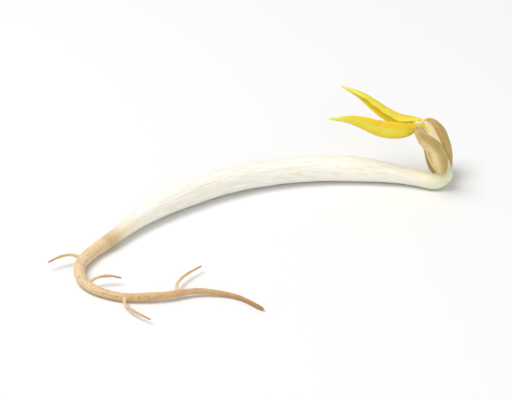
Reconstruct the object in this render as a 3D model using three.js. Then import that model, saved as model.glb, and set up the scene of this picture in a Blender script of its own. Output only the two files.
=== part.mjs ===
// A mung bean sprout lying on a flat surface: a thick white stem with a bent neck, a thin main root with a
// few side roots, the two halves of the bean, and the young shoot with its first two yellow leaves.
// Millimetres, +Z up, the surface at z = 0. Each organ is one closed body, grown along its own centre line.
import * as THREE from "three";

// ---- Driving dimensions -------------------------------------------------------------------------------
const GAP = 0.08; // clear space between organs that touch

const STEM_RADIUS = 1.62; // thickest part of the stem
const COLLAR_RADIUS = 0.85; // where the stem turns into root
const NECK_RADIUS = 1.0; // thin bent neck under the seed leaves
const KNOT_RADIUS = 0.76; // the neck's very end, which carries the seed leaves and the shoot

const HOOK_RADIUS = 1.5; // bend of the neck, on the centre line
const HOOK_START = -14; // degrees: the stem dips a little into the bend
const HOOK_END = 98; // degrees: the neck leaves the bend almost upright
const HOOK_POINTS = 6; // steps round the bend
const HOOK_LEAN = 30; // degrees that the plane of the bend leans back from upright

const ROOT_TIP_RADIUS = 0.24;
const ROOTLET_RADIUS = 0.2;

const SEED_LEAF_WIDTH = 3.8;
const SEED_LEAF_THICKNESS = 2.0;

const SHOOT_RADIUS = 0.55;
const UPPER_LEAF_HALF_WIDTH = 1.65; // from the midrib to the edge
const LOWER_LEAF_HALF_WIDTH = 2.15;
const LEAF_THICKNESS = 0.34;
const LEAF_FOLD = 52; // degrees between the two half blades
const STALK_RADIUS = 0.27;
const STALK_SHARE = 0.05; // part of a leaf's length that is stalk

// ---- Frames -------------------------------------------------------------------------------------------
const rad = THREE.MathUtils.degToRad;
const smooth = THREE.MathUtils.smoothstep;
const lerp = THREE.MathUtils.lerp;
const vec = (x, y, z) => new THREE.Vector3(x, y, z);

// The plane of the head: right along +X, up leaning back, out towards the front.
const RIGHT = vec(1, 0, 0);
const UP = vec(0, Math.sin(rad(HOOK_LEAN)), Math.cos(rad(HOOK_LEAN)));
const OUT = vec(0, -Math.cos(rad(HOOK_LEAN)), Math.sin(rad(HOOK_LEAN)));

const headway = (right, up, out) =>
  vec(0, 0, 0).addScaledVector(RIGHT, right).addScaledVector(UP, up).addScaledVector(OUT, out);

const curveThrough = (points) => new THREE.CatmullRomCurve3(points, false, "centripetal");

// ---- One closed body grown along a centre line ----------------------------------------------------------
// section(s, x, z) gives the offsets across the line at s = 0..1, for a point (x, z) of the unit circle.
// The second offset points towards "facing".
function grow(path, facing, section, steps, sides) {
  const profile = [new THREE.Vector2(0, 0)];
  for (let i = 0; i <= steps; i += 1) profile.push(new THREE.Vector2(1, i / steps));
  profile.push(new THREE.Vector2(0, 1));
  const rod = new THREE.LatheGeometry(profile, sides);
  const places = rod.getAttribute("position");
  for (let i = 0; i < places.count; i += 1) {
    const s = THREE.MathUtils.clamp(places.getY(i), 0, 1);
    const along = path.getTangentAt(s);
    const towards = facing.clone().addScaledVector(along, -facing.dot(along)).normalize();
    const across = along.clone().cross(towards);
    const [a, b] = section(s, places.getX(i), places.getZ(i));
    const p = path.getPointAt(s).addScaledVector(across, a).addScaledVector(towards, b);
    places.setXYZ(i, p.x, p.y, p.z);
  }
  rod.deleteAttribute("uv");
  rod.computeVertexNormals();
  return rod;
}

// A round section with a radius law.
const round = (radius) => (s, x, z) => [x * radius(s), z * radius(s)];

// Rounds an end off: from "least" at s = 0 to 1 at s = share.
const roundEnd = (s, share, least) =>
  s >= share ? 1 : Math.max(least, Math.sqrt(1 - (1 - s / share) ** 2));

const group = new THREE.Group();

function organ(name, geometry, color, roughness) {
  const mesh = new THREE.Mesh(geometry, new THREE.MeshStandardMaterial({ color, roughness, metalness: 0 }));
  mesh.name = name;
  group.add(mesh);
}

// ---- Stem ---------------------------------------------------------------------------------------------
// The bottom of the bend rests on the surface at x = 0, y = 0. The stem runs from its foot on the left.
const bendCentre = vec(0, 0, NECK_RADIUS).addScaledVector(UP, HOOK_RADIUS);
const onBend = (degrees) =>
  bendCentre
    .clone()
    .addScaledVector(RIGHT, HOOK_RADIUS * Math.sin(rad(degrees)))
    .addScaledVector(UP, -HOOK_RADIUS * Math.cos(rad(degrees)));

const foot = vec(-40.6, -15.6, COLLAR_RADIUS + 0.1);
const stemPoints = [
  foot,
  vec(-35.2, -8.4, 1.45),
  vec(-27.8, -2.2, 1.66),
  vec(-19.6, 1.3, 1.7),
  vec(-11.6, 2.3, 1.62),
  vec(-6.0, 1.7, 1.42),
  vec(-2.6, 0.8, 1.2),
];
for (let i = 0; i <= HOOK_POINTS; i += 1) {
  stemPoints.push(onBend(lerp(HOOK_START, HOOK_END, i / HOOK_POINTS)));
}
const stemPath = curveThrough(stemPoints);

const stemRadius = (s) =>
  STEM_RADIUS -
  (STEM_RADIUS - COLLAR_RADIUS) * (1 - smooth(s, 0, 0.34)) -
  (STEM_RADIUS - NECK_RADIUS) * smooth(s, 0.72, 0.94) -
  (NECK_RADIUS - KNOT_RADIUS) * smooth(s, 0.96, 0.995);
organ(
  "stem",
  grow(stemPath, OUT, round((s) => stemRadius(s) * roundEnd(1 - s, 0.008, 0.4)), 84, 14),
  "#f4efe4",
  0.42,
);

// ---- Main root ----------------------------------------------------------------------------------------
const footWay = stemPath.getTangentAt(0).negate();
const rootStart = foot.clone().addScaledVector(footWay, GAP);
const rootPath = curveThrough([
  rootStart,
  rootStart.clone().addScaledVector(footWay, 2.4).setZ(0.86),
  vec(-43.4, -21.2, 0.82),
  vec(-42.2, -25.0, 0.66),
  vec(-38.2, -27.4, 0.56),
  vec(-33.4, -27.4, 0.72),
  vec(-29.0, -26.2, 0.6),
  vec(-24.8, -26.9, 0.34),
  vec(-21.4, -29.8, 0.28),
]);
const rootRadius = (s) => lerp(ROOT_TIP_RADIUS, COLLAR_RADIUS, (1 - s) ** 1.5);
organ(
  "root",
  grow(rootPath, vec(0, 0, 1), round((s) => rootRadius(s) * roundEnd(1 - s, 0.02, 0.3)), 44, 9),
  "#d9bd94",
  0.6,
);

// ---- Side roots ---------------------------------------------------------------------------------------
// at: place along the root; side: +1 to its right, -1 to its left; rise: how steeply it leaves the root;
// sweep: how far it turns along with the root.
const ROOTLETS = [
  { at: 0.13, side: 1, length: 2.9, rise: 0.35, sweep: 0.9 },
  { at: 0.3, side: -1, length: 3.6, rise: 0.35, sweep: 0.4 },
  { at: 0.47, side: 1, length: 4.0, rise: 0.1, sweep: 1.0 },
  { at: 0.66, side: -1, length: 4.6, rise: 0.1, sweep: 1.0 },
];
const ROOTLET_CLEARANCE = 0.03; // above the surface
ROOTLETS.forEach(({ at, side, length, rise, sweep }, i) => {
  const along = rootPath.getTangentAt(at);
  const sideways = along.clone().cross(vec(0, 0, 1)).normalize().multiplyScalar(side);
  const away = sideways.clone().setZ(rise).normalize();
  const start = rootPath.getPointAt(at).addScaledVector(away, rootRadius(at) + GAP);
  const reach = (part) =>
    start
      .clone()
      .addScaledVector(away, length * part)
      .addScaledVector(along, length * sweep * part ** 2)
      .setZ(Math.max(ROOTLET_RADIUS + ROOTLET_CLEARANCE, start.z + length * rise * part * (1 - part)));
  const path = curveThrough([0, 0.25, 0.5, 0.75, 1].map(reach));
  const radius = (s) => ROOTLET_RADIUS * lerp(1, 0.5, s) * roundEnd(1 - s, 0.06, 0.4);
  organ(`rootlet_${i + 1}`, grow(path, vec(0, 0, 1), round(radius), 10, 6), "#e2c9a0", 0.6);
});

// ---- Seed leaves --------------------------------------------------------------------------------------
// The two halves of the bean sit either side of the neck's end, flat faces towards each other.
// Their lines, and those of the shoot, are given from the knot as right, up and out in the head's plane.
const knot = onBend(HOOK_END);
const fromKnot = ([right, up, out]) => knot.clone().add(headway(right, up, out));
const lineFromKnot = (points) => curveThrough(points.map(fromKnot));

// A half bean: flat towards its partner, domed on the other side.
const FLAT_SHARE = 0.14; // part of the thickness on the flat side of its line
function halfBean(s, x, z) {
  const full = roundEnd(s, 0.36, 0.3) * roundEnd(1 - s, 0.34, 0.25);
  const depth = SEED_LEAF_THICKNESS * (z > 0 ? 1 - FLAT_SHARE : FLAT_SHARE);
  return [x * (SEED_LEAF_WIDTH / 2) * full, z * depth * full];
}

const outerLine = lineFromKnot([
  [-0.15, -0.75, -1.5],
  [-0.7, 0.7, -1.65],
  [-1.0, 2.2, -1.65],
  [-1.35, 3.5, -1.6],
  [-1.85, 4.8, -1.55],
  [-2.25, 6.3, -1.35],
]);
const innerLine = lineFromKnot([
  [-0.5, -0.45, 1.0],
  [-0.6, 0.9, 1.55],
  [-0.95, 2.3, 2.2],
  [-1.8, 3.5, 3.0],
  [-2.85, 4.25, 3.9],
  [-3.75, 4.55, 4.8],
]);
organ("seed_leaf_outer", grow(outerLine, headway(0.6, 0, -0.8), halfBean, 22, 16), "#d2bd8e", 0.5);
organ("seed_leaf_inner", grow(innerLine, headway(-0.82, -0.55, 0.16), halfBean, 22, 16), "#dcc897", 0.5);

// ---- Young shoot --------------------------------------------------------------------------------------
// The shoot stem rises between the seed leaves and leans back over the stem.
const shootLine = lineFromKnot([
  [-0.06, GAP + 0.35, 0],
  [-0.62, 1.9, -0.05],
  [-1.35, 3.5, -0.08],
  [-2.1, 4.95, 0.0],
  [-2.95, 5.75, 0.08],
]);
organ(
  "shoot_stem",
  grow(shootLine, OUT, round((s) => SHOOT_RADIUS * roundEnd(1 - s, 0.1, 0.5)), 14, 10),
  "#efe6c8",
  0.45,
);

// ---- Leaves -------------------------------------------------------------------------------------------
// Half width of a leaf along its length: a thin stalk, then a lance-shaped blade with a long point.
function leafHalfWidth(s, widest) {
  const t = Math.max(0, (s - STALK_SHARE) / (1 - STALK_SHARE));
  return Math.max(STALK_RADIUS * lerp(1, 0.25, t), widest * Math.sin(Math.PI * t ** 0.68) ** 0.8);
}

// A blade folded along its midrib: the sheet's middle follows a rounded V, and z is its thickness.
const KEEL = 0.3; // rounding of the fold at the midrib
const foldedBlade = (widest) => (s, x, z) => {
  const half = rad(LEAF_FOLD / 2);
  const c = x * leafHalfWidth(s, widest);
  const bend = Math.hypot(c, KEEL);
  const slope = c / bend;
  const thick = lerp(STALK_RADIUS, LEAF_THICKNESS / 2, smooth(s, STALK_SHARE / 2, STALK_SHARE * 2));
  const middle = [c * Math.sin(half), (bend - KEEL) * Math.cos(half)];
  const way = new THREE.Vector2(-slope * Math.cos(half), Math.sin(half)).normalize();
  const t = z * thick * roundEnd(1 - s, 0.04, 0.4);
  return [middle[0] + way.x * t, middle[1] + way.y * t];
};

const upperLine = lineFromKnot([
  [-3.3, 6.0, -0.2],
  [-4.3, 6.35, -0.4],
  [-5.7, 6.65, -0.65],
  [-7.2, 7.4, -0.8],
  [-8.8, 8.45, -0.95],
  [-10.3, 9.35, -1.05],
  [-13.2, 10.35, -1.6],
]);
const lowerLine = lineFromKnot([
  [-3.15, 5.25, 0.5],
  [-3.9, 4.65, 0.8],
  [-5.1, 4.0, 1.1],
  [-6.7, 3.8, 1.35],
  [-8.6, 4.1, 1.5],
  [-10.7, 5.05, 1.45],
  [-12.4, 5.7, 1.3],
  [-14.8, 6.15, 1.0],
]);
const upperBlade = foldedBlade(UPPER_LEAF_HALF_WIDTH);
const lowerBlade = foldedBlade(LOWER_LEAF_HALF_WIDTH);
organ("leaf_upper", grow(upperLine, headway(0.1, -1, 0.45), upperBlade, 26, 16), "#f6dc2c", 0.45);
organ("leaf_lower", grow(lowerLine, headway(0.1, 1, 0.55), lowerBlade, 26, 16), "#f3d42a", 0.45);

// ---- Shoot tip ----------------------------------------------------------------------------------------
// The bud between the two leaf stalks.
const budLine = lineFromKnot([
  [-3.35, 5.6, 0.15],
  [-3.75, 5.65, 0.15],
  [-4.2, 5.6, 0.15],
]);
const budRadius = (s) => 0.26 * roundEnd(s, 0.4, 0.4) * roundEnd(1 - s, 0.6, 0.25);
organ("shoot_tip", grow(budLine, OUT, round(budRadius), 8, 8), "#e9d873", 0.5);

// ---- The part's own frame -------------------------------------------------------------------------------
// The origin is the middle of the box's underside.
const box = new THREE.Box3().setFromObject(group, true);
group.position.set(-(box.min.x + box.max.x) / 2, -(box.min.y + box.max.y) / 2, -box.min.z);

export default group;
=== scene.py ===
# %% [markdown]
# # A mung bean sprout
# A bean sprout is a whole young plant. From one end to the other it has a thin root, a thick white stem
# with a bent neck, the two halves of the bean, called seed leaves, and a short shoot with its first two
# leaves. This lesson builds each of them in Blender, in the place of plain solids that fix every place
# and size. Everything is modelled in millimetres and turned into metres at the very end, because a
# sprout is so small that metres would be awkward numbers.

# %% Load the frame
import math

import bpy
import numpy as np
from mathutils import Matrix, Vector, noise


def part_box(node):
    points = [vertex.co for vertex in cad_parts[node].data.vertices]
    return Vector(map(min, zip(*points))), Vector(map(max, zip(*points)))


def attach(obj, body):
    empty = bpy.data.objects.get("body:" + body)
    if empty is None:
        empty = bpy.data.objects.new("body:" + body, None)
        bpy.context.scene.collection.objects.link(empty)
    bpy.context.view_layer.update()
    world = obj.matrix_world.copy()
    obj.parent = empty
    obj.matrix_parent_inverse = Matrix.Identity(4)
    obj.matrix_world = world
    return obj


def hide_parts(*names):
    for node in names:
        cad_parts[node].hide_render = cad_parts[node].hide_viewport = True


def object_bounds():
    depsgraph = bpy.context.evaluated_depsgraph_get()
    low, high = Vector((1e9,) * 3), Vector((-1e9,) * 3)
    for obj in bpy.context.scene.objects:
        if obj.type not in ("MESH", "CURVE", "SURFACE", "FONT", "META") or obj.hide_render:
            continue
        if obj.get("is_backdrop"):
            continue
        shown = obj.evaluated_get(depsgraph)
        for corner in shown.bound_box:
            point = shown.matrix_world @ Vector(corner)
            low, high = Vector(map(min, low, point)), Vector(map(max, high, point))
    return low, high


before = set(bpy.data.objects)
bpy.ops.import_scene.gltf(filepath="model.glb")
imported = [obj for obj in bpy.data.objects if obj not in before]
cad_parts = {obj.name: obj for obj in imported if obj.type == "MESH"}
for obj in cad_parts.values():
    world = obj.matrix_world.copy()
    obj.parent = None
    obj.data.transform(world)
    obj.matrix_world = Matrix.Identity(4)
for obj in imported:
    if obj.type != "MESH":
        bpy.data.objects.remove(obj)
cad_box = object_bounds()
MM = 0.001
print("solids:", sorted(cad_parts))

# %% [markdown]
# ## The driving sizes
# These are the sizes that the solids have too, in millimetres. The neck bends in a plane that leans
# back from upright, so the head is described in three directions of its own: right, up and out.

# %% Driving sizes
STEM_RADIUS = 1.62
COLLAR_RADIUS = 0.85
NECK_RADIUS = 1.0
HOOK_RADIUS = 1.5
HOOK_START = math.radians(-14)
HOOK_END = math.radians(98)
HOOK_LEAN = math.radians(30)
GAP = 0.08
ROOT_TIP_RADIUS = 0.24
ROOTLET_RADIUS = 0.2
SEED_LEAF_WIDTH = 3.8
SEED_LEAF_THICKNESS = 2.0
SHOOT_RADIUS = 0.55
UPPER_LEAF_HALF_WIDTH = 1.65
LOWER_LEAF_HALF_WIDTH = 2.15
STALK_SHARE = 0.05
STALK_RADIUS = 0.27

RIGHT = Vector((1, 0, 0))
UP = Vector((0, math.sin(HOOK_LEAN), math.cos(HOOK_LEAN)))
OUT = Vector((0, -math.cos(HOOK_LEAN), math.sin(HOOK_LEAN)))


def headway(right, up, out):
    """A direction or a step in the head's own three directions."""
    return RIGHT * right + UP * up + OUT * out


print(f"stem {2 * STEM_RADIUS:.2f} mm thick, neck {2 * NECK_RADIUS:.2f} mm")

# %% [markdown]
# ## Smooth centre lines
# Every organ grows along a line. A few points are enough if a smooth curve passes through them. This
# one is a centripetal Catmull-Rom curve: each stretch is a cubic whose slopes come from the points on
# both sides, and it never loops or overshoots where points lie close together, as they do round the
# tight neck.


# %% A curve through points, in equal steps
def cubic_between(before, start, end, after, share):
    """The curve from start to end, at share 0..1 of the way."""
    stretches = ((before, start), (start, end), (end, after))
    first, middle, last = (math.sqrt((q - p).length) for p, q in stretches)
    leave = (start - before) / first - (end - before) / (first + middle) + (end - start) / middle
    arrive = (end - start) / middle - (after - start) / (middle + last) + (after - end) / last
    leave, arrive = leave * middle, arrive * middle
    bend = (end - start) * 3 - leave * 2 - arrive
    twist = (start - end) * 2 + leave + arrive
    return start + leave * share + bend * share**2 + twist * share**3


def smooth_line(points, steps):
    """Points at equal distances along the curve, the direction at each, and the curve's length."""
    known = [points[0] * 2 - points[1], *points, points[-1] * 2 - points[-2]]
    stretch_steps = 60
    fine = []
    for i in range(len(points) - 1):
        for k in range(stretch_steps):
            fine.append(cubic_between(*known[i : i + 4], k / stretch_steps))
    fine = np.array([*fine, points[-1]])
    travelled = np.concatenate([[0], np.cumsum(np.linalg.norm(np.diff(fine, axis=0), axis=1))])
    wanted = np.linspace(0, travelled[-1], steps + 1)
    places = np.stack([np.interp(wanted, travelled, fine[:, axis]) for axis in range(3)], axis=1)
    ways = np.gradient(places, axis=0)
    ways /= np.linalg.norm(ways, axis=1)[:, None]
    return [Vector(p) for p in places], [Vector(w) for w in ways], float(travelled[-1])


# %% [markdown]
# ## Helpers for node trees
# Shapes and finishes below are both made with nodes. Two small helpers keep those steps short: one adds
# a node and fills its sockets, with a value or with a link, and one adds a piece of arithmetic.


# %% Node helpers
def put(tree, kind, inputs=None, **settings):
    """Adds a node, sets its properties, and fills its inputs by name or number."""
    made = tree.nodes.new(kind)
    for name, value in settings.items():
        setattr(made, name, value)
    for key, value in (inputs or {}).items():
        socket = made.inputs[key]
        if isinstance(value, bpy.types.NodeSocket):
            tree.links.new(value, socket)
        else:
            socket.default_value = value
    return made


def calc(tree, operation, *values):
    """Arithmetic on numbers or sockets."""
    return put(tree, "ShaderNodeMath", dict(enumerate(values)), operation=operation).outputs[0]


def ramp(tree, value, start, end, low=0.0, high=1.0, smooth=True):
    """Goes from low to high while value goes from start to end, smoothly or straight."""
    kind = "SMOOTHSTEP" if smooth else "LINEAR"
    sockets = {"Value": value, "From Min": start, "From Max": end, "To Min": low, "To Max": high}
    return put(tree, "ShaderNodeMapRange", sockets, interpolation_type=kind).outputs["Result"]


# %% [markdown]
# ## A tree that grows a round organ
# Stem, roots and shoot are all the same thing in different sizes: a round section carried along a line,
# with a thickness that changes smoothly, rounded ends, and the slight lumps and lengthwise streaks of
# living tissue. Modelling each by hand would mean pushing points about. A rule is better, so this is a
# Geometry Nodes tree whose named inputs are the sizes. Thickness goes from a start value to a middle
# value to an end value. The tree also leaves a "grain" on the surface: where round the section a point
# is, and how far along, which the finishes use so that their streaks follow every bend.

# %% The round organ's tree
ORGAN_INPUTS = {
    "Steps": ("NodeSocketInt", 200),
    "Sides": ("NodeSocketInt", 32),
    "Start radius": ("NodeSocketFloat", 1.0),
    "Middle radius": ("NodeSocketFloat", 1.0),
    "End radius": ("NodeSocketFloat", 1.0),
    "Middle begins": ("NodeSocketFloat", 0.3),
    "Middle ends": ("NodeSocketFloat", 0.7),
    "End begins": ("NodeSocketFloat", 0.95),
    "Round start": ("NodeSocketFloat", 0.01),
    "Round end": ("NodeSocketFloat", 0.01),
    "Lump height": ("NodeSocketFloat", 0.03),
    "Lump size": ("NodeSocketFloat", 4.0),
    "Streak height": ("NodeSocketFloat", 0.01),
    "Streaks round": ("NodeSocketFloat", 5.0),
    "Seed": ("NodeSocketFloat", 0.0),
    "Finish": ("NodeSocketMaterial", None),
}
END_ROUNDNESS = 0.12
STREAK_CHANGES_ALONG = 6.0


def add_inputs(tree, inputs):
    """Gives a tree a geometry input and output, and its named sizes."""
    tree.interface.new_socket("Geometry", in_out="INPUT", socket_type="NodeSocketGeometry")
    tree.interface.new_socket("Geometry", in_out="OUTPUT", socket_type="NodeSocketGeometry")
    for name, (kind, value) in inputs.items():
        socket = tree.interface.new_socket(name, in_out="INPUT", socket_type=kind)
        if value is not None:
            socket.default_value = value
    return put(tree, "NodeGroupInput").outputs


def rounded(tree, share, over):
    """1 away from an end, falling in a quarter circle over the given share of the length."""
    left = calc(tree, "SUBTRACT", 1.0, ramp(tree, share, 0.0, over, smooth=False))
    circle = calc(tree, "SQRT", calc(tree, "SUBTRACT", 1.0, calc(tree, "MULTIPLY", left, left)))
    return calc(tree, "MAXIMUM", circle, END_ROUNDNESS)


def organ_tree():
    tree = bpy.data.node_groups.new("round_organ", "GeometryNodeTree")
    size = add_inputs(tree, ORGAN_INPUTS)
    line = put(tree, "GeometryNodeMeshToCurve", {"Mesh": size["Geometry"]})
    line = put(tree, "GeometryNodeResampleCurve", {"Curve": line.outputs[0], "Count": size["Steps"]})
    along = put(tree, "GeometryNodeSplineParameter").outputs["Factor"]

    rising = ramp(tree, along, 0.0, size["Middle begins"], size["Start radius"], size["Middle radius"])
    falling = ramp(tree, along, size["Middle ends"], size["End begins"])
    change = calc(tree, "SUBTRACT", size["End radius"], size["Middle radius"])
    radius = calc(tree, "ADD", rising, calc(tree, "MULTIPLY", falling, change))
    radius = calc(tree, "MULTIPLY", radius, rounded(tree, along, size["Round start"]))
    to_end = calc(tree, "SUBTRACT", 1.0, along)
    radius = calc(tree, "MULTIPLY", radius, rounded(tree, to_end, size["Round end"]))

    line = put(
        tree,
        "GeometryNodeStoreNamedAttribute",
        {"Geometry": line.outputs[0], "Name": "along", "Value": along},
        domain="POINT",
    )
    turn = calc(tree, "MULTIPLY", put(tree, "GeometryNodeSplineParameter").outputs["Factor"], math.tau)
    ring = put(tree, "GeometryNodeCurvePrimitiveCircle", {"Resolution": size["Sides"], "Radius": 1.0})
    ring = put(
        tree,
        "GeometryNodeStoreNamedAttribute",
        {"Geometry": ring.outputs[0], "Name": "turn", "Value": turn},
        domain="POINT",
    )
    body = put(
        tree,
        "GeometryNodeCurveToMesh",
        {"Curve": line.outputs[0], "Profile Curve": ring.outputs[0], "Scale": radius, "Fill Caps": True},
    )

    turned = put(tree, "GeometryNodeInputNamedAttribute", {"Name": "turn"}, data_type="FLOAT").outputs[0]
    gone = put(tree, "GeometryNodeInputNamedAttribute", {"Name": "along"}, data_type="FLOAT").outputs[0]
    grain = put(
        tree,
        "ShaderNodeCombineXYZ",
        {0: calc(tree, "COSINE", turned), 1: calc(tree, "SINE", turned), 2: gone},
    )
    body = put(
        tree,
        "GeometryNodeStoreNamedAttribute",
        {"Geometry": body.outputs[0], "Name": "grain", "Value": grain.outputs[0]},
        domain="POINT",
        data_type="FLOAT_VECTOR",
    )

    place = put(tree, "GeometryNodeInputPosition").outputs[0]
    fineness = calc(tree, "DIVIDE", 1.0, size["Lump size"])
    lumps = put(
        tree,
        "ShaderNodeTexNoise",
        {"Vector": place, "W": size["Seed"], "Scale": fineness, "Detail": 1.0},
        noise_dimensions="4D",
    )
    stretch = put(tree, "ShaderNodeCombineXYZ", {0: 1.0, 1: 1.0, 2: STREAK_CHANGES_ALONG})
    factors = {0: grain.outputs[0], 1: stretch.outputs[0]}
    drawn = put(tree, "ShaderNodeVectorMath", factors, operation="MULTIPLY")
    streaks = put(
        tree,
        "ShaderNodeTexNoise",
        {"Vector": drawn.outputs[0], "W": size["Seed"], "Scale": size["Streaks round"], "Detail": 2.0},
        noise_dimensions="4D",
    )
    lump = calc(tree, "SUBTRACT", lumps.outputs["Fac"], 0.5)
    lump = calc(tree, "MULTIPLY", lump, size["Lump height"])
    streak = calc(tree, "SUBTRACT", streaks.outputs["Fac"], 0.5)
    streak = calc(tree, "MULTIPLY", streak, size["Streak height"])
    height = calc(tree, "MULTIPLY", calc(tree, "ADD", lump, streak), 2.0)
    outward = put(
        tree,
        "ShaderNodeVectorMath",
        {0: put(tree, "GeometryNodeInputNormal").outputs[0], "Scale": height},
        operation="SCALE",
    )
    body = put(tree, "GeometryNodeSetPosition", {"Geometry": body.outputs[0], "Offset": outward.outputs[0]})
    body = put(tree, "GeometryNodeSetShadeSmooth", {"Geometry": body.outputs[0]})
    body = put(tree, "GeometryNodeRealizeInstances", {"Geometry": body.outputs[0]})
    body = put(tree, "GeometryNodeSetMaterial", {"Geometry": body.outputs[0], "Material": size["Finish"]})
    put(tree, "NodeGroupOutput", {"Geometry": body.outputs[0]})
    return tree


ORGAN_TREE = organ_tree()
print("round organ tree:", len(ORGAN_TREE.nodes), "nodes,", len(ORGAN_INPUTS), "named inputs")

# %% [markdown]
# ## Running a tree
# A tree runs as a modifier. Its inputs are set by each socket's own identifier, before Blender first
# works the object out. Then the result is copied to a plain mesh, and the line that it grew from is
# thrown away.


# %% Run a tree and keep its mesh
def run_tree(name, start_mesh, tree, values):
    """The plain mesh that a tree makes from a starting mesh."""
    holder = bpy.data.objects.new(name + "_line", start_mesh)
    bpy.context.scene.collection.objects.link(holder)
    modifier = holder.modifiers.new("grow", "NODES")
    modifier.node_group = tree
    for item in tree.interface.items_tree:
        if item.item_type == "SOCKET" and item.in_out == "INPUT" and item.name in values:
            modifier[item.identifier] = values[item.name]
    depsgraph = bpy.context.evaluated_depsgraph_get()
    mesh = bpy.data.meshes.new_from_object(holder.evaluated_get(depsgraph))
    mesh.name = name
    holder.modifiers.remove(modifier)
    bpy.data.objects.remove(holder)
    return mesh


def line_mesh(name, places):
    """A mesh that is only a chain of edges."""
    mesh = bpy.data.meshes.new(name)
    mesh.from_pydata([tuple(p) for p in places], [(i, i + 1) for i in range(len(places) - 1)], [])
    return mesh


def mesh_box(mesh):
    """Lowest and highest corner of a mesh."""
    places = np.empty(len(mesh.vertices) * 3)
    mesh.vertices.foreach_get("co", places)
    places = places.reshape(-1, 3)
    return Vector(places.min(axis=0)), Vector(places.max(axis=0))


# %% [markdown]
# ## Finishes: what they share
# Fresh plant tissue is full of water. Light goes in a little way and comes out beside where it entered,
# so the surfaces glow softly and their shadows are never black. Subsurface scattering does that. The
# skin itself is smooth and slightly moist, which is a thin clear coat over a fairly rough base. Each
# finish starts from one shader, and adds its own colours, streaks and bumps.


# %% Start a finish
def start_finish(name, glow, glow_reach_mm, coat, coat_roughness, sheen_level=0.5):
    """A plant material. Gives the material, its tree and its shader."""
    finish = bpy.data.materials.new(name)
    finish.use_nodes = True
    tree = finish.node_tree
    shader = tree.nodes["Principled BSDF"]
    shader.inputs["Subsurface Weight"].default_value = glow
    shader.inputs["Subsurface Radius"].default_value = (1.0, 0.75, 0.45)
    shader.inputs["Subsurface Scale"].default_value = glow_reach_mm * MM
    shader.inputs["Coat Weight"].default_value = coat
    shader.inputs["Coat Roughness"].default_value = coat_roughness
    shader.inputs["Specular IOR Level"].default_value = sheen_level
    shader.inputs["IOR"].default_value = 1.4
    return finish, tree, shader


def mottle(tree, coordinates, scale, detail=3.0, rough=0.5, stretch=(1.0, 1.0, 1.0)):
    """Soft noise on any coordinates, stretched as asked."""
    placed = put(tree, "ShaderNodeMapping", {"Vector": coordinates, "Scale": stretch})
    sockets = {"Vector": placed.outputs[0], "Scale": scale, "Detail": detail, "Roughness": rough}
    return put(tree, "ShaderNodeTexNoise", sockets).outputs["Fac"]


def mixed(tree, share, first, second):
    """One colour turning into another. Each may be a colour or a socket."""
    sockets = {"Factor": share, "A": first, "B": second}
    node = put(tree, "ShaderNodeMix", data_type="RGBA")
    for key, value in sockets.items():
        socket = next(s for s in node.inputs if s.enabled and s.name == key)
        if isinstance(value, bpy.types.NodeSocket):
            tree.links.new(value, socket)
        else:
            socket.default_value = value
    return next(s for s in node.outputs if s.enabled)


def colour(red, green, blue):
    """A screen colour, 0..255, as the linear colour that shaders use."""
    linear = [((c / 255 + 0.055) / 1.055) ** 2.4 if c > 10 else c / 255 / 12.92 for c in (red, green, blue)]
    return (*linear, 1.0)


def bump(tree, shader, height, depth_mm, strength=1.0):
    """Small relief on the skin."""
    sockets = {"Height": height, "Distance": depth_mm * MM, "Strength": strength}
    node = put(tree, "ShaderNodeBump", sockets)
    tree.links.new(node.outputs[0], shader.inputs["Normal"])


def grain_of(tree):
    return put(tree, "ShaderNodeAttribute", attribute_name="grain").outputs["Vector"]


def grain_parts(tree):
    """The grain's three numbers as sockets."""
    return put(tree, "ShaderNodeSeparateXYZ", {0: grain_of(tree)}).outputs


# %% [markdown]
# ## The stem's finish
# The stem is pearly white and lets light deep into it. Fine fibres run along it. Near its foot it turns
# cream and then tan, as it becomes root, and the thin neck is faintly green because it has seen some
# light.

# %% Stem finish
STEM_WHITE = colour(250, 246, 238)
STEM_SHADE = colour(236, 231, 216)
STEM_CREAM = colour(236, 219, 186)
NECK_GREEN = colour(226, 228, 190)
COLLAR_TAN = colour(214, 186, 142)
FOOT_BROWN = colour(176, 134, 86)


def stem_finish():
    finish, tree, shader = start_finish("stem_flesh", 0.75, 1.6, coat=0.25, coat_roughness=0.22)
    along = grain_parts(tree)[2]
    fibres = mottle(tree, grain_of(tree), 9.0, detail=4.0, stretch=(1.0, 1.0, 2.2))
    clouds = mottle(tree, grain_of(tree), 2.2, detail=2.0, stretch=(1.0, 1.0, 14.0))
    skin = mixed(tree, ramp(tree, fibres, 0.42, 0.68), STEM_WHITE, STEM_SHADE)
    skin = mixed(tree, ramp(tree, clouds, 0.55, 0.8, high=0.5), skin, STEM_CREAM)
    skin = mixed(tree, ramp(tree, along, 0.86, 0.99, high=0.85), skin, NECK_GREEN)
    skin = mixed(tree, ramp(tree, along, 0.16, 0.0, high=0.9), skin, STEM_CREAM)
    skin = mixed(tree, ramp(tree, along, 0.07, 0.0), skin, COLLAR_TAN)
    near_foot = ramp(tree, along, 0.09, 0.0)
    foot_streaks = calc(tree, "MULTIPLY", near_foot, ramp(tree, fibres, 0.5, 0.7, high=0.35))
    skin = mixed(tree, foot_streaks, skin, FOOT_BROWN)
    tree.links.new(skin, shader.inputs["Base Color"])
    tree.links.new(ramp(tree, fibres, 0.3, 0.7, 0.34, 0.5), shader.inputs["Roughness"])
    bump(tree, shader, fibres, 0.05, 0.5)
    return finish


STEM_FINISH = stem_finish()
print("finish:", STEM_FINISH.name)

# %% [markdown]
# ## The root's finish
# Roots have a thin dry skin. They are cream where they leave the stem and turn tan, then brown at the
# tip, with darker rings and scars.

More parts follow.
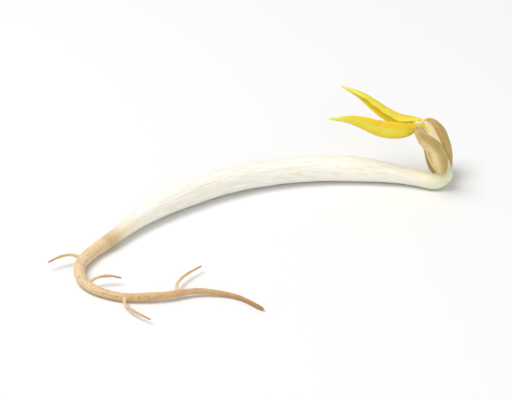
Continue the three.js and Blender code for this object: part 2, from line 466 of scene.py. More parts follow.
# %% Root finish
ROOT_CREAM = colour(233, 208, 166)
ROOT_TAN = colour(214, 178, 128)
ROOT_BROWN = colour(168, 122, 74)


def root_finish(name, start_cream):
    finish, tree, shader = start_finish(name, 0.45, 0.5, coat=0.08, coat_roughness=0.35)
    along = grain_parts(tree)[2]
    streaks = mottle(tree, grain_of(tree), 5.0, detail=4.0, stretch=(1.0, 1.0, 6.0))
    scars = mottle(tree, grain_of(tree), 3.0, detail=3.0, stretch=(0.4, 0.4, 30.0))
    skin = mixed(tree, ramp(tree, along, 0.0, start_cream), COLLAR_TAN, ROOT_CREAM)
    skin = mixed(tree, ramp(tree, along, 0.1, 0.75), skin, ROOT_TAN)
    skin = mixed(tree, ramp(tree, along, 0.72, 1.0, high=0.85), skin, ROOT_BROWN)
    aged = ramp(tree, along, 0.02, 0.22, 0.3, 1.0)
    streaked = calc(tree, "MULTIPLY", aged, ramp(tree, streaks, 0.48, 0.72, high=0.55))
    scarred = calc(tree, "MULTIPLY", aged, ramp(tree, scars, 0.58, 0.7, high=0.6))
    skin = mixed(tree, streaked, skin, ROOT_BROWN)
    skin = mixed(tree, scarred, skin, ROOT_BROWN)
    tree.links.new(skin, shader.inputs["Base Color"])
    tree.links.new(ramp(tree, streaks, 0.3, 0.7, 0.5, 0.68), shader.inputs["Roughness"])
    bump(tree, shader, calc(tree, "ADD", streaks, scars), 0.05, 0.6)
    return finish


ROOT_FINISH = root_finish("root_skin", 0.05)
print("finish:", ROOT_FINISH.name)

# %% [markdown]
# ## The seed leaves' finish
# The halves of the bean have given most of their food away. Their flesh is khaki to cream, mottled, browner
# towards the tip, and finely wrinkled lengthwise as it shrinks. Along the edges it turns olive. This is
# partly a real greener margin and partly painted shade where the half bean rounds off. The flat inner face
# is painted browner as painted shade for the gap between the two seed leaves. On these pieces the grain
# says how far across the half bean a point is, which side it is on, and how far along.

# %% Seed leaf finish
BEAN_CREAM = colour(242, 222, 168)
BEAN_KHAKI = colour(216, 190, 116)
BEAN_OLIVE = colour(176, 152, 84)
BEAN_BROWN = colour(190, 156, 92)


def bean_finish():
    finish, tree, shader = start_finish("seed_leaf", 0.45, 0.9, coat=0.12, coat_roughness=0.3)
    parts = grain_parts(tree)
    across = calc(tree, "ABSOLUTE", parts[0])
    along = parts[2]
    blotches = mottle(tree, grain_of(tree), 2.2, detail=4.0, rough=0.6, stretch=(1.0, 1.0, 1.6))
    wrinkles = mottle(tree, grain_of(tree), 5.0, detail=4.0, rough=0.6, stretch=(1.6, 1.6, 0.8))
    skin = mixed(tree, ramp(tree, blotches, 0.35, 0.65), BEAN_CREAM, BEAN_KHAKI)
    # Partly real, partly painted shade: the edges turn olive. This is a greener margin that is also darker
    # where the half bean rounds off.
    skin = mixed(tree, ramp(tree, across, 0.62, 1.0, high=0.75), skin, BEAN_OLIVE)
    skin = mixed(tree, ramp(tree, wrinkles, 0.55, 0.75, high=0.5), skin, BEAN_OLIVE)
    skin = mixed(tree, ramp(tree, along, 0.78, 1.0, high=0.55), skin, BEAN_BROWN)
    # Painted shade: the flat inner face turns browner in blotches, standing in for the shade in the gap
    # between the two seed leaves.
    painted_inner_shade = ramp(tree, parts[1], 0.0, -0.25, high=0.45)
    skin = mixed(tree, calc(tree, "MULTIPLY", painted_inner_shade, ramp(tree, blotches, 0.3, 0.6)), skin, BEAN_BROWN)
    tree.links.new(skin, shader.inputs["Base Color"])
    tree.links.new(ramp(tree, wrinkles, 0.3, 0.7, 0.38, 0.55), shader.inputs["Roughness"])
    bump(tree, shader, wrinkles, 0.12, 0.7)
    return finish


BEAN_FINISH = bean_finish()
print("finish:", BEAN_FINISH.name)

# %% [markdown]
# ## The young leaves' finish
# The leaves grew in the dark, so they are bright yellow. Along the fold the yellow is deeper. This is
# partly the midrib's own colour and partly painted shade in the crease. The inner faces of the fold are
# painted deeper too, as painted shade. The blade is lighter along the edges and pale at the long tips.
# Between the ribs the blade is a fine network. Leaves are so thin that some of the light passes through
# them.

# %% Leaf finish
LEAF_YELLOW = colour(255, 234, 38)
# A deep yellow: partly the midrib's own colour, and partly painted shade in the fold and on its inner
# faces.
LEAF_DEEP_AND_SHADE = colour(252, 204, 10)
LEAF_PALE = colour(255, 243, 100)
LEAF_TIP = colour(250, 244, 130)
LEAF_NET = (9, 9, 34)


def leaf_finish():
    finish, tree, shader = start_finish("young_leaf", 0.3, 0.35, coat=0.1, coat_roughness=0.3)
    parts = grain_parts(tree)
    across = calc(tree, "ABSOLUTE", parts[0])
    along = parts[2]
    spread = put(tree, "ShaderNodeMapping", {"Vector": grain_of(tree), "Scale": LEAF_NET}).outputs[0]
    net = put(tree, "ShaderNodeTexVoronoi", {"Vector": spread}, feature="DISTANCE_TO_EDGE")
    net = net.outputs["Distance"]
    clouds = mottle(tree, grain_of(tree), 3.0, detail=3.0, stretch=(1.0, 1.0, 3.0))
    skin = mixed(tree, ramp(tree, clouds, 0.35, 0.7), LEAF_YELLOW, LEAF_PALE)
    # Partly real, partly painted shade: deeper yellow along the fold, the midrib's own colour plus painted
    # shade in the crease.
    skin = mixed(tree, ramp(tree, across, 0.55, 0.0, high=0.9), skin, LEAF_DEEP_AND_SHADE)
    # Painted shade: the inner faces of the folded blade, which face each other, are painted deeper yellow.
    painted_inner_shade = ramp(tree, parts[1], 0.0, 0.5, high=0.7)
    skin = mixed(tree, painted_inner_shade, skin, LEAF_DEEP_AND_SHADE)
    skin = mixed(tree, ramp(tree, net, 0.12, 0.0, high=0.3), skin, LEAF_PALE)
    skin = mixed(tree, ramp(tree, along, 0.72, 1.0, high=0.85), skin, LEAF_TIP)
    skin = mixed(tree, ramp(tree, along, 0.1, 0.0, high=0.7), skin, LEAF_TIP)
    tree.links.new(skin, shader.inputs["Base Color"])
    tree.links.new(ramp(tree, clouds, 0.3, 0.7, 0.4, 0.55), shader.inputs["Roughness"])
    bump(tree, shader, ramp(tree, net, 0.0, 0.15, smooth=False), 0.03, 0.5)
    return finish


LEAF_FINISH = leaf_finish()
print("finish:", LEAF_FINISH.name)

# %% [markdown]
# ## The shoot's finish
# The shoot stem and the bud are young tissue: pale cream, almost glassy, faintly yellow where the
# leaves begin.

# %% Shoot finish
SHOOT_CREAM = colour(246, 236, 208)
SHOOT_BLUSH = colour(240, 214, 190)
SHOOT_YELLOW = colour(240, 222, 120)


def shoot_finish():
    finish, tree, shader = start_finish("shoot_flesh", 0.75, 1.0, coat=0.2, coat_roughness=0.25)
    along = grain_parts(tree)[2]
    fibres = mottle(tree, grain_of(tree), 6.0, detail=3.0, stretch=(1.0, 1.0, 1.5))
    skin = mixed(tree, ramp(tree, fibres, 0.4, 0.7), SHOOT_CREAM, SHOOT_BLUSH)
    skin = mixed(tree, ramp(tree, along, 0.55, 1.0, high=0.7), skin, SHOOT_YELLOW)
    tree.links.new(skin, shader.inputs["Base Color"])
    tree.links.new(ramp(tree, fibres, 0.3, 0.7, 0.35, 0.5), shader.inputs["Roughness"])
    bump(tree, shader, fibres, 0.04, 0.5)
    return finish


SHOOT_FINISH = shoot_finish()
print("finish:", SHOOT_FINISH.name)

# %% [markdown]
# ## The stem
# The thick white part that people eat is the stem below the seed leaves. It swells quickly from its
# foot, stays nearly even, then thins into the neck, which bends over as it did when it pushed up
# through the soil. The bend is part of a circle, and the rest of the line is a lazy curve that lets the
# sprout lie steady.

# %% Grow the stem
bend_centre = Vector((0, 0, NECK_RADIUS)) + UP * HOOK_RADIUS


def on_bend(angle):
    return bend_centre + (RIGHT * math.sin(angle) - UP * math.cos(angle)) * HOOK_RADIUS


bend_steps = 6
foot = Vector((-40.6, -15.6, COLLAR_RADIUS + 0.1))
stem_points = [
    foot,
    Vector((-35.2, -8.4, 1.45)),
    Vector((-27.8, -2.2, 1.66)),
    Vector((-19.6, 1.3, 1.7)),
    Vector((-11.6, 2.3, 1.62)),
    Vector((-6.0, 1.7, 1.42)),
    Vector((-2.6, 0.8, 1.2)),
]
for i in range(bend_steps + 1):
    stem_points.append(on_bend(HOOK_START + (HOOK_END - HOOK_START) * i / bend_steps))
knot = on_bend(HOOK_END)


def grow_organ(name, points, line_steps=200, **sizes):
    """The mesh of a round organ along a line, and the line's directions."""
    places, ways, length = smooth_line(points, line_steps)
    values = {key.replace("_", " ").capitalize(): value for key, value in sizes.items()}
    mesh = run_tree(name, line_mesh(name + "_chain", places), ORGAN_TREE, values)
    print(f"{name}: {length:.1f} mm long, {len(mesh.polygons)} faces")
    return mesh, ways


stem_mesh, stem_ways = grow_organ(
    "sprout_stem",
    stem_points,
    line_steps=400,
    steps=330,
    sides=44,
    start_radius=COLLAR_RADIUS,
    middle_radius=STEM_RADIUS,
    end_radius=NECK_RADIUS,
    middle_begins=0.34,
    middle_ends=0.72,
    end_begins=0.94,
    round_start=0.006,
    round_end=0.02,
    lump_height=0.09,
    lump_size=5.0,
    streak_height=0.02,
    streaks_round=2.2,
    seed=3.0,
    finish=STEM_FINISH,
)

# %% [markdown]
# ## From millimetres into the frame
# The solids were moved so that their origin is under the middle of the whole sprout. The stem's box in
# the frame, compared with the box of the stem just grown, gives that move. Every piece then goes
# through one function, which moves it, turns millimetres into metres, and says which solid it stands
# for.

# %% The move, and one way to settle every piece
low, high = mesh_box(stem_mesh)
cad_low, cad_high = (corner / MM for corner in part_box("stem"))
move = (cad_low + cad_high) / 2 - (low + high) / 2
move.z = cad_low.z - low.z
print("move into the frame, mm:", [round(v, 2) for v in move])


def settle(mesh, node):
    """Turns a finished mesh in millimetres into a piece of the sprout."""
    places = np.empty(len(mesh.vertices) * 3)
    mesh.vertices.foreach_get("co", places)
    places = (places.reshape(-1, 3) + np.array(move)) * MM
    mesh.vertices.foreach_set("co", places.ravel())
    mesh.update()
    piece = bpy.data.objects.new(mesh.name, mesh)
    bpy.context.scene.collection.objects.link(piece)
    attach(piece, "root")
    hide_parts(node)
    node_low, node_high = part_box(node)
    piece_low, piece_high = mesh_box(mesh)
    off = max(*(abs(v) for v in piece_low - node_low), *(abs(v) for v in piece_high - node_high))
    print(f"{mesh.name} keeps to {node} within {off / MM:.2f} mm")
    return piece


settle(stem_mesh, "stem")

# %% [markdown]
# ## The main root
# The root goes on from the stem's foot. It thins out along its length and wanders, because it felt its
# way between its neighbours. It starts a little inside the stem, so that the two grow together with no
# seam.

# %% Grow the main root
ROOT_START_INSIDE = 0.7
foot_way = -stem_ways[0]
root_start = foot + foot_way * GAP
root_points = [
    root_start,
    Vector((*(root_start + foot_way * 2.4).xy, 0.86)),
    Vector((-43.4, -21.2, 0.82)),
    Vector((-42.2, -25.0, 0.66)),
    Vector((-38.2, -27.4, 0.56)),
    Vector((-33.4, -27.4, 0.72)),
    Vector((-29.0, -26.2, 0.6)),
    Vector((-24.8, -26.9, 0.34)),
    Vector((-21.4, -29.8, 0.28)),
]
inside_stem = root_start - foot_way * ROOT_START_INSIDE


def root_radius(share):
    """The solids' law: thin tip, thick start."""
    return ROOT_TIP_RADIUS + (COLLAR_RADIUS - ROOT_TIP_RADIUS) * (1 - share) ** 1.5


root_mesh, _ = grow_organ(
    "sprout_root",
    [inside_stem, *root_points],
    line_steps=260,
    steps=240,
    sides=28,
    start_radius=COLLAR_RADIUS - 0.03,
    middle_radius=root_radius(0.45),
    end_radius=ROOT_TIP_RADIUS,
    middle_begins=0.5,
    middle_ends=0.5,
    end_begins=0.95,
    round_start=0.004,
    round_end=0.03,
    lump_height=0.07,
    lump_size=1.6,
    streak_height=0.03,
    streaks_round=2.0,
    seed=8.0,
    finish=ROOT_FINISH,
)
settle(root_mesh, "root")

# %% [markdown]
# ## Side roots
# A few short whiskers have broken out of the main root. Each leaves it sideways, thick at its base, and
# bends towards the root's tip.

# %% Grow the side roots
ROOTLETS = [
    dict(at=0.13, side=1, length=2.9, rise=0.35, sweep=0.9),
    dict(at=0.3, side=-1, length=3.6, rise=0.35, sweep=0.4),
    dict(at=0.47, side=1, length=4.0, rise=0.1, sweep=1.0),
    dict(at=0.66, side=-1, length=4.6, rise=0.1, sweep=1.0),
]
ROOTLET_CLEARANCE = 0.03
ROOT_STEPS = 200
root_line, root_line_ways, _ = smooth_line(root_points, ROOT_STEPS)
for number, whisker in enumerate(ROOTLETS, start=1):
    index = round(whisker["at"] * ROOT_STEPS)
    along = root_line_ways[index]
    away = along.cross(Vector((0, 0, 1))).normalized() * whisker["side"]
    away.z = whisker["rise"]
    away.normalize()
    start = root_line[index] + away * (root_radius(whisker["at"]) + GAP)
    reach = [root_line[index] + away * root_radius(whisker["at"]) * 0.5]
    for part in (0, 0.25, 0.5, 0.75, 1):
        swept = whisker["length"] * whisker["sweep"] * part**2
        tip = start + away * whisker["length"] * part + along * swept
        lift = start.z + whisker["length"] * whisker["rise"] * part * (1 - part)
        tip.z = max(ROOTLET_RADIUS + ROOTLET_CLEARANCE, lift)
        reach.append(tip)
    whisker_mesh, _ = grow_organ(
        f"side_root_{number}",
        reach,
        line_steps=60,
        steps=60,
        sides=14,
        start_radius=ROOTLET_RADIUS * 1.25,
        middle_radius=ROOTLET_RADIUS * 0.85,
        end_radius=ROOTLET_RADIUS * 0.5,
        middle_begins=0.3,
        middle_ends=0.5,
        end_begins=0.98,
        round_start=0.02,
        round_end=0.06,
        lump_height=0.03,
        lump_size=0.8,
        streak_height=0.01,
        streaks_round=2.0,
        seed=float(number),
        finish=ROOT_FINISH,
    )
    settle(whisker_mesh, f"rootlet_{number}")

# %% [markdown]
# ## The shoot stem
# Between the seed leaves rises the shoot's own stem. It bends over the same way as the neck below it
# and carries the leaves at its top. It starts inside the knot at the neck's end.

# %% Grow the shoot stem
SHOOT_POINTS = [
    (-0.06, -0.4, 0),
    (-0.06, 0.43, 0),
    (-0.62, 1.9, -0.05),
    (-1.35, 3.5, -0.08),
    (-2.1, 4.95, 0.0),
    (-2.95, 5.75, 0.08),
]
shoot_mesh, _ = grow_organ(
    "shoot_stalk",
    [knot + headway(*p) for p in SHOOT_POINTS],
    line_steps=90,
    steps=80,
    sides=28,
    start_radius=SHOOT_RADIUS * 1.15,
    middle_radius=SHOOT_RADIUS,
    end_radius=SHOOT_RADIUS * 0.92,
    middle_begins=0.3,
    middle_ends=0.7,
    end_begins=1.0,
    round_start=0.05,
    round_end=0.1,
    lump_height=0.04,
    lump_size=1.5,
    streak_height=0.02,
    streaks_round=1.8,
    seed=5.0,
    finish=SHOOT_FINISH,
)
settle(shoot_mesh, "shoot_stem")

# %% [markdown]
# ## Flat and half-round organs
# Seed leaves and leaves aren't round, and they must face the right way, so their meshes are written in
# code. A section with many points is carried along the line, ring by ring, and a rule says where each
# point of the ring goes. One point closes each end. The first offset goes across, the second towards a
# chosen direction.


# %% Carry a section along a line
def carry(name, points, facing, section, rings, sides, finish):
    """A closed mesh whose rings follow a line. section(share, turn) gives two offsets and the grain."""
    places, ways, length = smooth_line(points, rings)
    verts, grains = [], []
    for i, (place, way) in enumerate(zip(places, ways)):
        share = i / rings
        towards = (facing - way * facing.dot(way)).normalized()
        across = way.cross(towards)
        for k in range(sides):
            a, b, grain = section(share, math.tau * k / sides)
            verts.append(place + across * a + towards * b)
            grains.append(grain)
    faces = []
    for i in range(rings):
        for k in range(sides):
            after = (k + 1) % sides
            faces.append((i * sides + k, i * sides + after, (i + 1) * sides + after, (i + 1) * sides + k))
    for ring, turned in ((0, True), (rings, False)):
        middle = len(verts)
        ring_verts = verts[ring * sides : (ring + 1) * sides]
        verts.append(sum(ring_verts, Vector()) / sides)
        grains.append((0.0, 0.0, ring / rings))
        for k in range(sides):
            pair = (ring * sides + k, ring * sides + (k + 1) % sides)
            faces.append((middle, *(reversed(pair) if turned else pair)))
    mesh = bpy.data.meshes.new(name)
    mesh.from_pydata([tuple(v) for v in verts], [], faces)
    mesh.attributes.new("grain", "FLOAT_VECTOR", "POINT").data.foreach_set("vector", np.ravel(grains))
    mesh.materials.append(finish)
    mesh.shade_smooth()
    mesh.update()
    print(f"{name}: {length:.1f} mm long, {len(faces)} faces")
    return mesh


def round_end(share, over, least):
    """1 away from an end, falling in a quarter circle to the least value at it."""
    return 1.0 if share >= over else max(least, math.sqrt(1 - (1 - share / over) ** 2))


# %% [markdown]
# ## The seed leaves
# Each is half a bean: domed outside, flat inside where it lay against its partner. As the plant used up
# its food the half bean shrank, so the dome has soft lengthwise wrinkles, and the flat side has sunk in
# a little and left a rim. Noise in code makes both. It is the same each time, because it only depends
# on the place. A narrow foot at the lower end runs into the neck, where the half bean is grown on.

# %% Shape the seed leaves
FLAT_SHARE = 0.14
HOLLOW = 0.3
WRINKLE = 0.05
FLAT_WRINKLE = 0.04
FOLDS_ROUND = 2.6
DENT = 0.05
DENTS_ALONG = 4.5
FOOT_SHARE = 0.07
FOOT_FULLNESS = 0.17


def half_bean(seed):
    def section(share, turn):
        x, z = math.cos(turn), math.sin(turn)
        bean_share = max(0.0, (share - FOOT_SHARE) / (1 - FOOT_SHARE))
        full = round_end(bean_share, 0.36, FOOT_FULLNESS) * round_end(1 - share, 0.34, 0.08)
        depth = SEED_LEAF_THICKNESS * (1 - FLAT_SHARE if z > 0 else FLAT_SHARE)
        long_folds = Vector((x * FOLDS_ROUND, z * FOLDS_ROUND, share * 2.0 + seed))
        wrinkle = noise.fractal(long_folds, 1.0, 2.0, 3)
        dent = noise.noise(Vector((x * 1.1, z * 1.1, share * DENTS_ALONG + seed)))
        swell = 1 + WRINKLE * wrinkle * full + DENT * dent
        a = x * (SEED_LEAF_WIDTH / 2) * full * swell
        b = z * depth * full * swell
        if z <= 0:
            b += HOLLOW * (1 - x * x) ** 2 * full**3 + FLAT_WRINKLE * wrinkle * full
        return a, b, (x, z, share)

    return section


OUTER_POINTS = [
    (-0.02, -0.7, -0.6),
    (-0.15, -0.75, -1.45),
    (-0.7, 0.7, -1.65),
    (-1.0, 2.2, -1.65),
    (-1.35, 3.5, -1.6),
    (-1.85, 4.8, -1.55),
    (-2.25, 6.3, -1.35),
]
INNER_POINTS = [
    (-0.2, -0.75, 0.35),
    (-0.5, -0.45, 0.95),
    (-0.6, 0.9, 1.55),
    (-0.95, 2.3, 2.2),
    (-1.8, 3.5, 3.0),
    (-2.85, 4.25, 3.9),
    (-3.75, 4.55, 4.8),
]
SEED_LEAVES = {
    "outer": (OUTER_POINTS, headway(0.6, 0, -0.8), 2.0),
    "inner": (INNER_POINTS, headway(-0.82, -0.55, 0.16), 7.0),
}
for side, (points, facing, seed) in SEED_LEAVES.items():
    line = [knot + headway(*p) for p in points]
    section = half_bean(seed)
    mesh = carry(f"{side}_seed_leaf", line, facing, section, rings=110, sides=72, finish=BEAN_FINISH)
    settle(mesh, f"seed_leaf_{side}")

# %% [markdown]
# ## The leaves
# The first two true leaves are lance shaped, widest near their base, with a long drawn-out tip. They
# are still folded along the midrib as they were inside the bean. The section is a thin sheet that
# follows a rounded V. The half blades cup a little, and the edges are slightly wavy.

# %% Shape the leaf blades
KEEL = 0.3
CUP = 0.12
EDGE_WAVE = 0.12
WAVES_ALONG = 9
RIB_THICKNESS = 0.14
EDGE_THICKNESS = 0.07


def leaf_half_width(share, widest):
    t = max(0.0, (share - STALK_SHARE) / (1 - STALK_SHARE))
    stalk = STALK_RADIUS * (1 - 0.75 * t)
    blade = widest * math.sin(math.pi * t**0.68) ** 0.8 if t < 1 else 0.0
    return max(stalk, blade)


def smooth_step(value, start, end):
    t = min(1.0, max(0.0, (value - start) / (end - start)))
    return t * t * (3 - 2 * t)


def folded_blade(widest, fold, seed):
    """A blade of a half width, folded by an angle between its halves."""
    half = fold / 2

    def section(share, turn):
        x, z = math.cos(turn), math.sin(turn)
        width = leaf_half_width(share, widest)
        c = x * width
        bend = math.hypot(c, KEEL)
        slope = c / bend
        blade = smooth_step(share, STALK_SHARE / 2, STALK_SHARE * 2.5)
        edge = abs(x) ** 2
        thick = STALK_RADIUS * (1 - blade) + (RIB_THICKNESS * (1 - edge) + EDGE_THICKNESS * edge) * blade
        a = c * math.sin(half)
        b = (bend - KEEL) * math.cos(half)
        way = Vector((-slope * math.cos(half), math.sin(half))).normalized()
        cup = -CUP * math.sin(math.pi * abs(x)) * width / widest * (1 if c > 0 else -1)
        wave = noise.noise(Vector((share * WAVES_ALONG + seed, seed, 3.0 if c > 0 else 0.0)))
        a += cup * blade + EDGE_WAVE * 2 * wave * edge * blade * width / widest
        thick *= round_end(1 - share, 0.04, 0.3)
        return a + way.x * z * thick, b + way.y * z * thick, (x, z, share)

    return section


UPPER_POINTS = [
    (-2.6, 5.6, 0.0),
    (-3.3, 6.0, -0.2),
    (-4.3, 6.35, -0.4),
    (-5.7, 6.65, -0.65),
    (-7.2, 7.4, -0.8),
    (-8.8, 8.45, -0.95),
    (-10.3, 9.35, -1.05),
    (-13.2, 10.35, -1.6),
]
LOWER_POINTS = [
    (-2.6, 5.5, 0.2),
    (-3.15, 5.25, 0.5),
    (-3.9, 4.65, 0.8),
    (-5.1, 4.0, 1.1),
    (-6.7, 3.8, 1.35),
    (-8.6, 4.1, 1.5),
    (-10.7, 5.05, 1.45),
    (-12.4, 5.7, 1.3),
    (-14.8, 6.15, 1.0),
]
LEAF_FOLD = math.radians(52)
LEAVES = {
    "upper": (UPPER_POINTS, headway(0.1, -1, 0.45), UPPER_LEAF_HALF_WIDTH, 1.0),
    "lower": (LOWER_POINTS, headway(0.1, 1, 0.55), LOWER_LEAF_HALF_WIDTH, 6.0),
}

# %% [markdown]
# ## Ribs that follow the blade
# On the back of each half blade a row of fine ribs runs from the midrib forward to the edge. Drawing
# them one by one on a bent, folded sheet would be slow. A tree makes one short line, copies it for
# every rib, places the copies on the blade's own map, and looks up where that spot of the map lies on
# the real surface. The midrib itself is one more line on the same map.

# %% The rib tree
RIB_INPUTS = {
    "Ribs": ("NodeSocketInt", 9),
    "First": ("NodeSocketFloat", 0.16),
    "Last": ("NodeSocketFloat", 0.78),
    "Sweep": ("NodeSocketFloat", 0.14),
    "Reach": ("NodeSocketFloat", 0.9),
    "Rib radius": ("NodeSocketFloat", 0.024),
    "Midrib radius": ("NodeSocketFloat", 0.1),
    "Finish": ("NodeSocketMaterial", None),
}
RIB_STEPS = 12
RIB_END_RADIUS = 0.008
MIDRIB_STEPS = 120
MIDRIB_END_RADIUS = 0.02
BACK_MIDDLE = 0.75


def named_vector(tree, name):
    return put(tree, "GeometryNodeInputNamedAttribute", {"Name": name}, data_type="FLOAT_VECTOR").outputs[0]


def look_up(tree, blade, value, chart, spot):
    """What a value is on the blade, at a spot of its map."""
    sampler = put(tree, "GeometryNodeSampleUVSurface", data_type="FLOAT_VECTOR")
    sockets = {"Mesh": blade, "Value": value, "UV Map": chart, "Sample UV": spot}
    for key, socket in sockets.items():
        tree.links.new(socket, sampler.inputs[key])
    return sampler.outputs[0]


def on_blade(tree, blade, curves, map_across, map_along):
    """Puts curve points on the blade at a spot of its map, and gives them the grain found there."""
    spot = put(tree, "ShaderNodeCombineXYZ", {0: map_across, 1: map_along}).outputs[0]
    chart = named_vector(tree, "map")
    place = look_up(tree, blade, put(tree, "GeometryNodeInputPosition").outputs[0], chart, spot)
    grain = look_up(tree, blade, named_vector(tree, "grain"), chart, spot)
    marked = put(
        tree,
        "GeometryNodeStoreNamedAttribute",
        {"Geometry": curves, "Name": "grain", "Value": grain},
        domain="POINT",
        data_type="FLOAT_VECTOR",
    )
    moved = put(tree, "GeometryNodeSetPosition", {"Geometry": marked.outputs[0], "Position": place})
    return moved.outputs[0]


def rib_mesh(tree, curves, radius, sides):
    ring = put(tree, "GeometryNodeCurvePrimitiveCircle", {"Resolution": sides, "Radius": 1.0}).outputs[0]
    sockets = {"Curve": curves, "Profile Curve": ring, "Scale": radius, "Fill Caps": True}
    return put(tree, "GeometryNodeCurveToMesh", sockets).outputs[0]


def rib_tree():
    tree = bpy.data.node_groups.new("leaf_ribs", "GeometryNodeTree")
    size = add_inputs(tree, RIB_INPUTS)
    blade = size["Geometry"]

    line = put(tree, "GeometryNodeCurvePrimitiveLine", {"Start": (0, 0, 0), "End": (1, 0, 0)})
    line = put(tree, "GeometryNodeResampleCurve", {"Curve": line.outputs[0], "Count": RIB_STEPS})
    count = calc(tree, "MULTIPLY", size["Ribs"], 2.0)
    to_copy = {"Geometry": line.outputs[0], "Amount": count}
    copies = put(tree, "GeometryNodeDuplicateElements", to_copy, domain="SPLINE")
    number = copies.outputs["Duplicate Index"]
    side = calc(tree, "SUBTRACT", calc(tree, "MULTIPLY", calc(tree, "MODULO", number, 2.0), 2.0), 1.0)
    row = calc(tree, "FLOOR", calc(tree, "DIVIDE", number, 2.0))
    rows = calc(tree, "SUBTRACT", size["Ribs"], 1.0)
    start = ramp(tree, calc(tree, "DIVIDE", row, rows), 0.0, 1.0, size["First"], size["Last"], smooth=False)
    gone = put(tree, "GeometryNodeSplineParameter").outputs["Factor"]
    out = calc(tree, "MULTIPLY", gone, size["Reach"])
    quarter = calc(tree, "DIVIDE", calc(tree, "ARCCOSINE", calc(tree, "MULTIPLY", out, side)), math.tau)
    across = calc(tree, "SUBTRACT", 1.0, quarter)
    forward = calc(tree, "MULTIPLY", calc(tree, "POWER", gone, 1.4), size["Sweep"])
    ribs = on_blade(tree, blade, copies.outputs["Geometry"], across, calc(tree, "ADD", start, forward))
    thin = ramp(tree, gone, 0.0, 1.0, size["Rib radius"], RIB_END_RADIUS, smooth=False)
    ribs = rib_mesh(tree, ribs, thin, 6)

    spine = put(tree, "GeometryNodeCurvePrimitiveLine", {"Start": (0, 0, 0), "End": (1, 0, 0)})
    spine = put(tree, "GeometryNodeResampleCurve", {"Curve": spine.outputs[0], "Count": MIDRIB_STEPS})
    gone = put(tree, "GeometryNodeSplineParameter").outputs["Factor"]
    up_leaf = ramp(tree, gone, 0.0, 1.0, 0.05, 0.97, smooth=False)
    spine = on_blade(tree, blade, spine.outputs[0], BACK_MIDDLE, up_leaf)
    thin = ramp(tree, gone, 0.0, 1.0, size["Midrib radius"], MIDRIB_END_RADIUS, smooth=False)
    spine = rib_mesh(tree, spine, thin, 8)

    joined = put(tree, "GeometryNodeJoinGeometry")
    for part in (blade, ribs, spine):
        tree.links.new(part, joined.inputs[0])
    body = put(tree, "GeometryNodeSetShadeSmooth", {"Geometry": joined.outputs[0]})
    body = put(tree, "GeometryNodeRealizeInstances", {"Geometry": body.outputs[0]})
    body = put(tree, "GeometryNodeSetMaterial", {"Geometry": body.outputs[0], "Material": size["Finish"]})
    put(tree, "NodeGroupOutput", {"Geometry": body.outputs[0]})
    return tree


RIB_TREE = rib_tree()
print("rib tree:", len(RIB_TREE.nodes), "nodes")


# %% Make both leaves with their ribs
def map_rings(mesh, rings, sides):
    """Lays the blade out flat: round the section from 0 to 1, and along from 0 to 1, face by face."""
    chart = mesh.attributes.new("map", "FLOAT_VECTOR", "CORNER")
    spots = []
    for face in mesh.polygons:
        first = face.index % sides
        for corner, vertex in enumerate(face.vertices):
            ring, k = divmod(vertex, sides)
            if face.index >= rings * sides:
                spots.append((0.0, -1.0, 0.0))
                continue
            turn = first + (1 if corner in (1, 2) else 0)
            spots.append((turn / sides, ring / rings, 0.0))
    chart.data.foreach_set("vector", np.ravel(spots))


leaf_rings, leaf_sides = 170, 72
for name, (points, facing, widest, seed) in LEAVES.items():
    line = [knot + headway(*p) for p in points]
    section = folded_blade(widest, LEAF_FOLD, seed)
    blade = carry(f"{name}_leaf_blade", line, facing, section, leaf_rings, leaf_sides, LEAF_FINISH)
    map_rings(blade, leaf_rings, leaf_sides)
    values = {"Ribs": 9, "First": 0.16, "Last": 0.74, "Finish": LEAF_FINISH}
    mesh = run_tree(f"{name}_leaf", blade, RIB_TREE, values)
    print(f"{name} leaf with ribs: {len(mesh.polygons)} faces")
    settle(mesh, f"leaf_{name}")

# %% [markdown]
# ## The shoot tip
# In the fold between the two leaf stalks sits the bud that would become the next leaves: a tiny pointed
# drop.

# %% Shape the bud
BUD_POINTS = [(-2.8, 5.55, 0.1), (-3.35, 5.6, 0.15), (-3.75, 5.65, 0.15), (-4.2, 5.6, 0.15)]
bud_mesh, _ = grow_organ(
    "shoot_bud",
    [knot + headway(*p) for p in BUD_POINTS],
    line_steps=40,
    steps=40,
    sides=16,
    start_radius=0.2,
    middle_radius=0.26,
    end_radius=0.08,
    middle_begins=0.4,
    middle_ends=0.55,
    end_begins=1.0,
    round_start=0.1,
    round_end=0.15,
    lump_height=0.01,
    lump_size=0.4,
    streak_height=0.01,
    streaks_round=1.5,
    seed=2.0,
    finish=SHOOT_FINISH,
)
settle(bud_mesh, "shoot_tip")

# %% [markdown]
# ## Floor, light and camera
# A plain white table, a soft light from the upper left, a weaker one from the front, and an even white
# surrounding. The camera looks down a little, from in front, with a long lens as for any small thing.

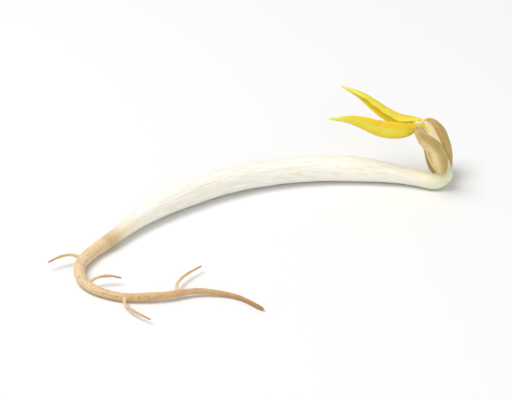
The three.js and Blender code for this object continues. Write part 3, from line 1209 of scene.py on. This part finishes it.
# %% Floor
floor_size = 4.0
floor_mesh = bpy.data.meshes.new("table_top")
half = floor_size / 2
corners = [(-half, -half, 0), (half, -half, 0), (half, half, 0), (-half, half, 0)]
floor_mesh.from_pydata(corners, [], [(0, 1, 2, 3)])
floor_finish = bpy.data.materials.new("table_white")
floor_finish.use_nodes = True
floor_shader = floor_finish.node_tree.nodes["Principled BSDF"]
floor_shader.inputs["Base Color"].default_value = (0.9, 0.9, 0.9, 1)
floor_shader.inputs["Roughness"].default_value = 0.6
floor_shader.inputs["Specular IOR Level"].default_value = 0.2
floor_mesh.materials.append(floor_finish)
floor = bpy.data.objects.new("table_top", floor_mesh)
bpy.context.scene.collection.objects.link(floor)
floor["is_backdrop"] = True

# %% Lights
lit_point = Vector((0, 0, 0.004))


def soft_box(name, place, width, watts, tint):
    """A square soft light that looks at the sprout."""
    lamp = bpy.data.lights.new(name, "AREA")
    lamp.size = width
    lamp.energy = watts
    lamp.color = tint
    holder = bpy.data.objects.new(name, lamp)
    holder.location = place
    holder.rotation_euler = (lit_point - Vector(place)).to_track_quat("-Z", "Y").to_euler()
    bpy.context.scene.collection.objects.link(holder)


soft_box("key", (-0.2, -0.01, 0.44), 0.28, 1.6, (1.0, 0.985, 0.965))
soft_box("fill", (0.2, -0.45, 0.2), 0.3, 0.45, (0.98, 0.99, 1.0))
world = bpy.data.worlds.new("white_room")
world.use_nodes = True
world.node_tree.nodes["Background"].inputs["Color"].default_value = (0.97, 0.985, 1.0, 1)
world.node_tree.nodes["Background"].inputs["Strength"].default_value = 0.52
bpy.context.scene.world = world
bpy.context.scene.view_settings.view_transform = "Standard"

# %% Camera
camera_tilt = math.radians(29)
lens_mm = 200
camera_distance = 0.344
camera_data = bpy.data.cameras.new("camera")
camera_data.lens = lens_mm
camera_data.clip_start = 0.005
camera = bpy.data.objects.new("camera", camera_data)
box_low, box_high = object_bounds()
aim = (box_low + box_high) / 2
camera.location = aim + Vector((0, -math.cos(camera_tilt), math.sin(camera_tilt))) * camera_distance
camera.rotation_euler = (aim - camera.location).to_track_quat("-Z", "Y").to_euler()
bpy.context.scene.collection.objects.link(camera)
bpy.context.scene.camera = camera

# %% [markdown]
# ## The last measurement
# The finished sprout must be as large as its solids. The sizes of both boxes are printed side by side.

# %% Print both boxes
visual_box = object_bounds()
boxes = {"cad": [list(corner) for corner in cad_box], "visual": [list(corner) for corner in visual_box]}
for name, (low, high) in boxes.items():
    print(name, "box, mm:", [round((b - a) / MM, 2) for a, b in zip(low, high)])
